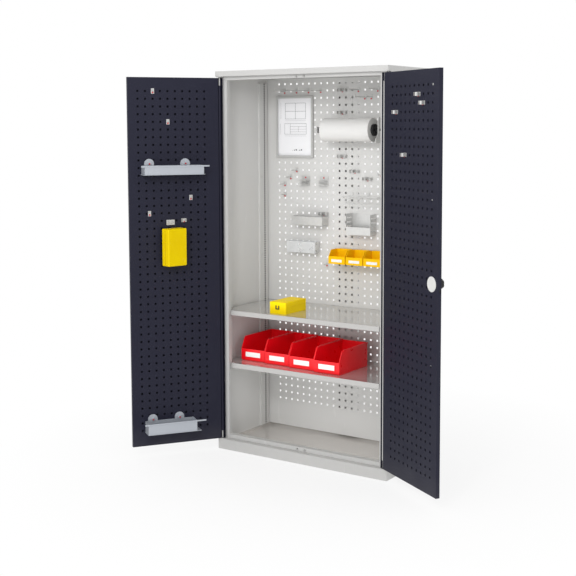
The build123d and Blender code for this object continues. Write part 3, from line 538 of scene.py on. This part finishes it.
def document_sheet():
    """Sheet in the frame, with a generic line drawing."""
    low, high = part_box("document_frame")
    x0, x1, z0, z1 = low.x + 0.006, high.x - 0.006, low.z + 0.006, high.z - 0.008
    y = high.y - 0.004
    sheet = bmesh.new()
    add_box(sheet, (x0, y, z0), (x1, y + 0.0004, z1))
    finish_piece("document_sheet", sheet, SHEET, "cabinet")
    lines = bmesh.new()
    width, height = x1 - x0, z1 - z0

    def stroke(u0, v0, u1, v1, thick=0.0014):
        a = Vector((x0 + u0 * width, y - 0.0002, z0 + v0 * height))
        b = Vector((x0 + u1 * width, y - 0.0002, z0 + v1 * height))
        half = Vector((thick / 2, 0.0001, thick / 2))
        add_box(lines, a - half, b + half)

    def outline(u0, v0, u1, v1, thick=0.0014):
        for a, b, c, d in ((u0, v0, u1, v0), (u0, v1, u1, v1), (u0, v0, u0, v1), (u1, v0, u1, v1)):
            stroke(a, b, c, d, thick)

    outline(0.22, 0.64, 0.80, 0.91)
    stroke(0.51, 0.64, 0.51, 0.91)
    stroke(0.22, 0.77, 0.80, 0.77)
    stroke(0.22, 0.61, 0.80, 0.61, 0.0008)
    stroke(0.09, 0.64, 0.09, 0.91, 0.0008)
    outline(0.20, 0.38, 0.82, 0.56)
    stroke(0.36, 0.38, 0.36, 0.56)
    for level in (0.42, 0.465, 0.51):
        stroke(0.36, level, 0.82, level, 0.001)
    stroke(0.60, 0.42, 0.60, 0.51, 0.001)
    stroke(0.20, 0.35, 0.82, 0.35, 0.0008)
    stroke(0.07, 0.38, 0.07, 0.56, 0.0008)
    for step in range(6):
        stroke(0.42 + 0.05 * step, 0.10, 0.445 + 0.05 * step, 0.10 + 0.012 * (step % 3), 0.0012)
    finish_piece("document_lines", lines, INK, "cabinet")


def label_cards():
    """Cards on the fronts of the storage bins and the small bins."""
    for number in (1, 2, 3, 4):
        low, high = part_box(f"red_bin_{number}")
        x0, x1 = low.x + 0.030, high.x - 0.030
        z = low.z + 0.034
        holder = bmesh.new()
        for a, b in (((x0 - 0.003, z - 0.016), (x1 + 0.003, z - 0.013)),
                     ((x0 - 0.003, z - 0.013), (x0, z + 0.015)), ((x1, z - 0.013), (x1 + 0.003, z + 0.015))):
            add_box(holder, (a[0], low.y - 0.0026, a[1]), (b[0], low.y + 0.0005, b[1]), bevel=0.0005)
        finish_piece(f"red_bin_{number}_card_holder", holder, RED, f"storage_bin_{number}")
        card = bmesh.new()
        add_box(card, (x0 + 0.0006, low.y - 0.0012, z - 0.0124), (x1 - 0.0006, low.y - 0.0004, z + 0.0125))
        finish_piece(f"red_bin_{number}_card", card, CARD, f"storage_bin_{number}")
    for number in (1, 2, 3):
        low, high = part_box(f"yellow_bin_{number}")
        card = bmesh.new()
        add_box(card, (low.x + 0.018, low.y - 0.0011, low.z + 0.010), (high.x - 0.018, low.y - 0.0003, low.z + 0.024))
        finish_piece(f"yellow_bin_{number}_card", card, CARD, f"small_bin_{number}")


def case_fittings():
    """Catch, rims and seams of the two yellow cases."""
    low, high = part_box("case_lid")
    middle, front = (low.x + high.x) / 2, low.y
    catch = bmesh.new()
    for x0, x1, z0, z1 in ((-11, -6, -8, 8), (6, 11, -8, 8), (-11, 11, -12, -7)):
        add_box(catch, (middle + x0 * MM, front - 4 * MM, low.z + z0 * MM),
                (middle + x1 * MM, front - 0.4 * MM, low.z + z1 * MM), bevel=0.001)
    finish_piece("case_catch", catch, BLACK, "case_cover")
    rim = bmesh.new()
    for x0, x1 in ((low.x - 1.6 * MM, low.x - 0.2 * MM), (high.x + 0.2 * MM, high.x + 1.6 * MM)):
        add_box(rim, (x0, front + 0.008, low.z + 0.6 * MM), (x1, front + 0.182, low.z + 4.6 * MM), bevel=0.0004)
    add_box(rim, (low.x + 0.012, front + 0.02, high.z + 0.1 * MM), (high.x - 0.012, front + 0.17, high.z + 1.2 * MM),
            bevel=0.0005)
    finish_piece("case_rims", rim, YELLOW, "case_cover")
    turned = door_matrix("left") @ Matrix.Translation((0.218, 0.0096, 0)) @ Matrix.Rotation(radians(19), 4, "Z")
    seam = bmesh.new()
    depth = 0.030
    for a, b in (((0.1101, 0.985), (0.1108, 1.160)), ((-0.0008, 0.985), (-0.0001, 1.160))):
        add_box(seam, (a[0], depth, a[1]), (b[0], depth + 0.0012, b[1]), turned)
    for z in (1.1661, 0.9783):
        add_box(seam, (0.006, depth, z), (0.104, depth + 0.0012, z + 0.0006), turned)
    finish_piece("hanging_case_seam", seam, SEAM, "hanging_case_body")
    hinges = bmesh.new()
    for z in (1.020, 1.060, 1.095):
        add_box(hinges, (0.1102, 0.018, z), (0.1122, 0.026, z + 0.009), turned, 0.0006)
    finish_piece("hanging_case_lugs", hinges, YELLOW, "hanging_case_body")


# ---- stage, light and camera ----
def floor():
    """Pale floor that keeps the cabinet's shadow."""
    size = 60.0
    data = bpy.data.meshes.new("floor")
    data.from_pydata([(-size, -size, 0), (size, -size, 0), (size, size, 0), (-size, size, 0)], [], [(0, 1, 2, 3)])
    ground = bpy.data.objects.new("floor", data)
    bpy.context.scene.collection.objects.link(ground)
    finish = Finish("pale floor", 0.6)
    finish.shader.inputs["Base Color"].default_value = (0.95, 0.95, 0.95, 1)
    finish.shader.inputs["Specular IOR Level"].default_value = 0.1
    away = finish.node("ShaderNodeVectorMath", Vector=finish.coords)
    away.operation = "LENGTH"
    distance = finish.spread(away.outputs["Value"], 0.6, 1.7, 0.8, 1.0)
    rays = finish.tree.nodes.new("ShaderNodeLightPath")
    straight = finish.math("MAXIMUM", rays.outputs["Is Camera Ray"], rays.outputs["Is Transmission Ray"])
    seen = finish.math("MAXIMUM", straight, rays.outputs["Is Glossy Ray"])
    glow = finish.node("ShaderNodeEmission", Strength=1.0)
    blend = finish.tree.nodes.new("ShaderNodeMixShader")
    finish.feed(blend.inputs[0], finish.math("MULTIPLY", distance, seen))
    finish.tree.links.new(finish.shader.outputs["BSDF"], blend.inputs[1])
    finish.tree.links.new(glow.outputs["Emission"], blend.inputs[2])
    finish.tree.links.new(blend.outputs["Shader"], finish.tree.nodes["Material Output"].inputs["Surface"])
    data.materials.append(finish.material)


def world():
    """White surroundings, dimmer for the light that they give."""
    sky = bpy.data.worlds.new("studio")
    bpy.context.scene.world = sky
    sky.use_nodes = True
    nodes, links = sky.node_tree.nodes, sky.node_tree.links
    back = nodes["Background"]
    back.inputs["Color"].default_value = (1, 1, 1, 1)
    rays = nodes.new("ShaderNodeLightPath")
    seen = nodes.new("ShaderNodeMath")
    seen.operation = "MAXIMUM"
    links.new(rays.outputs["Is Camera Ray"], seen.inputs[0])
    links.new(rays.outputs["Is Transmission Ray"], seen.inputs[1])
    shiny = nodes.new("ShaderNodeMath")
    shiny.operation = "MAXIMUM"
    links.new(seen.outputs["Value"], shiny.inputs[0])
    links.new(rays.outputs["Is Glossy Ray"], shiny.inputs[1])
    level = nodes.new("ShaderNodeMapRange")
    level.inputs["To Min"].default_value = 0.80
    level.inputs["To Max"].default_value = 1.0
    links.new(shiny.outputs["Value"], level.inputs["Value"])
    links.new(level.outputs["Result"], back.inputs["Strength"])


def soft_lamp(name, place, target, size, watts):
    """Rectangular area lamp that looks at a point."""
    lamp = bpy.data.lights.new(name, "AREA")
    lamp.shape = "RECTANGLE"
    lamp.size, lamp.size_y = size
    lamp.energy = watts
    holder = bpy.data.objects.new(name, lamp)
    bpy.context.scene.collection.objects.link(holder)
    holder.location = place
    holder.rotation_euler = (Vector(target) - Vector(place)).to_track_quat("-Z", "Y").to_euler()


def camera():
    """Camera at the photograph's viewing angle."""
    yaw, pitch, roll = radians(33.94), radians(-5.309), radians(0.214)
    forward = Vector((-sin(yaw) * cos(pitch), cos(yaw) * cos(pitch), sin(pitch)))
    right = Vector((cos(yaw), sin(yaw), 0))
    down = forward.cross(right)
    turned_right = right * cos(roll) + down * sin(roll)
    turned_up = right * sin(roll) - down * cos(roll)
    focal_pixels, frame_pixels = 1109.1, 576
    lens = bpy.data.cameras.new("camera")
    lens.sensor_width = 36
    lens.lens = focal_pixels / frame_pixels * lens.sensor_width
    lens.shift_y = -60 / frame_pixels
    viewer = bpy.data.objects.new("camera", lens)
    bpy.context.scene.collection.objects.link(viewer)
    turn = Matrix((turned_right, turned_up, -forward)).transposed().to_4x4()
    viewer.matrix_world = Matrix.Translation((2.9683, -4.7432, 1.6784)) @ turn
    bpy.context.scene.camera = viewer


dress_nodes()
red_markers()
document_sheet()
label_cards()
case_fittings()
floor()
world()
soft_lamp("key", (1.2, -4.4, 3.05), (0, 0, 1.0), (0.7, 0.7), 44)
soft_lamp("front", (1.6, -4.2, 2.0), (0, 0, 0.9), (2.8, 2.8), 8)
soft_lamp("top", (0.2, -2.6, 2.5), (0, -0.2, 1.9), (1.6, 0.5), 5)
for bottom, top, watts in ((0.76, 1.86, 1.2), (0.47, 0.69, 0.35), (0.09, 0.42, 0.7)):
    middle = (bottom + top) / 2
    soft_lamp("inside fill", (0, -0.19, middle), (0, 1.0, middle), (0.84, top - bottom), watts)
camera()
bpy.context.scene.view_settings.view_transform = "Standard"
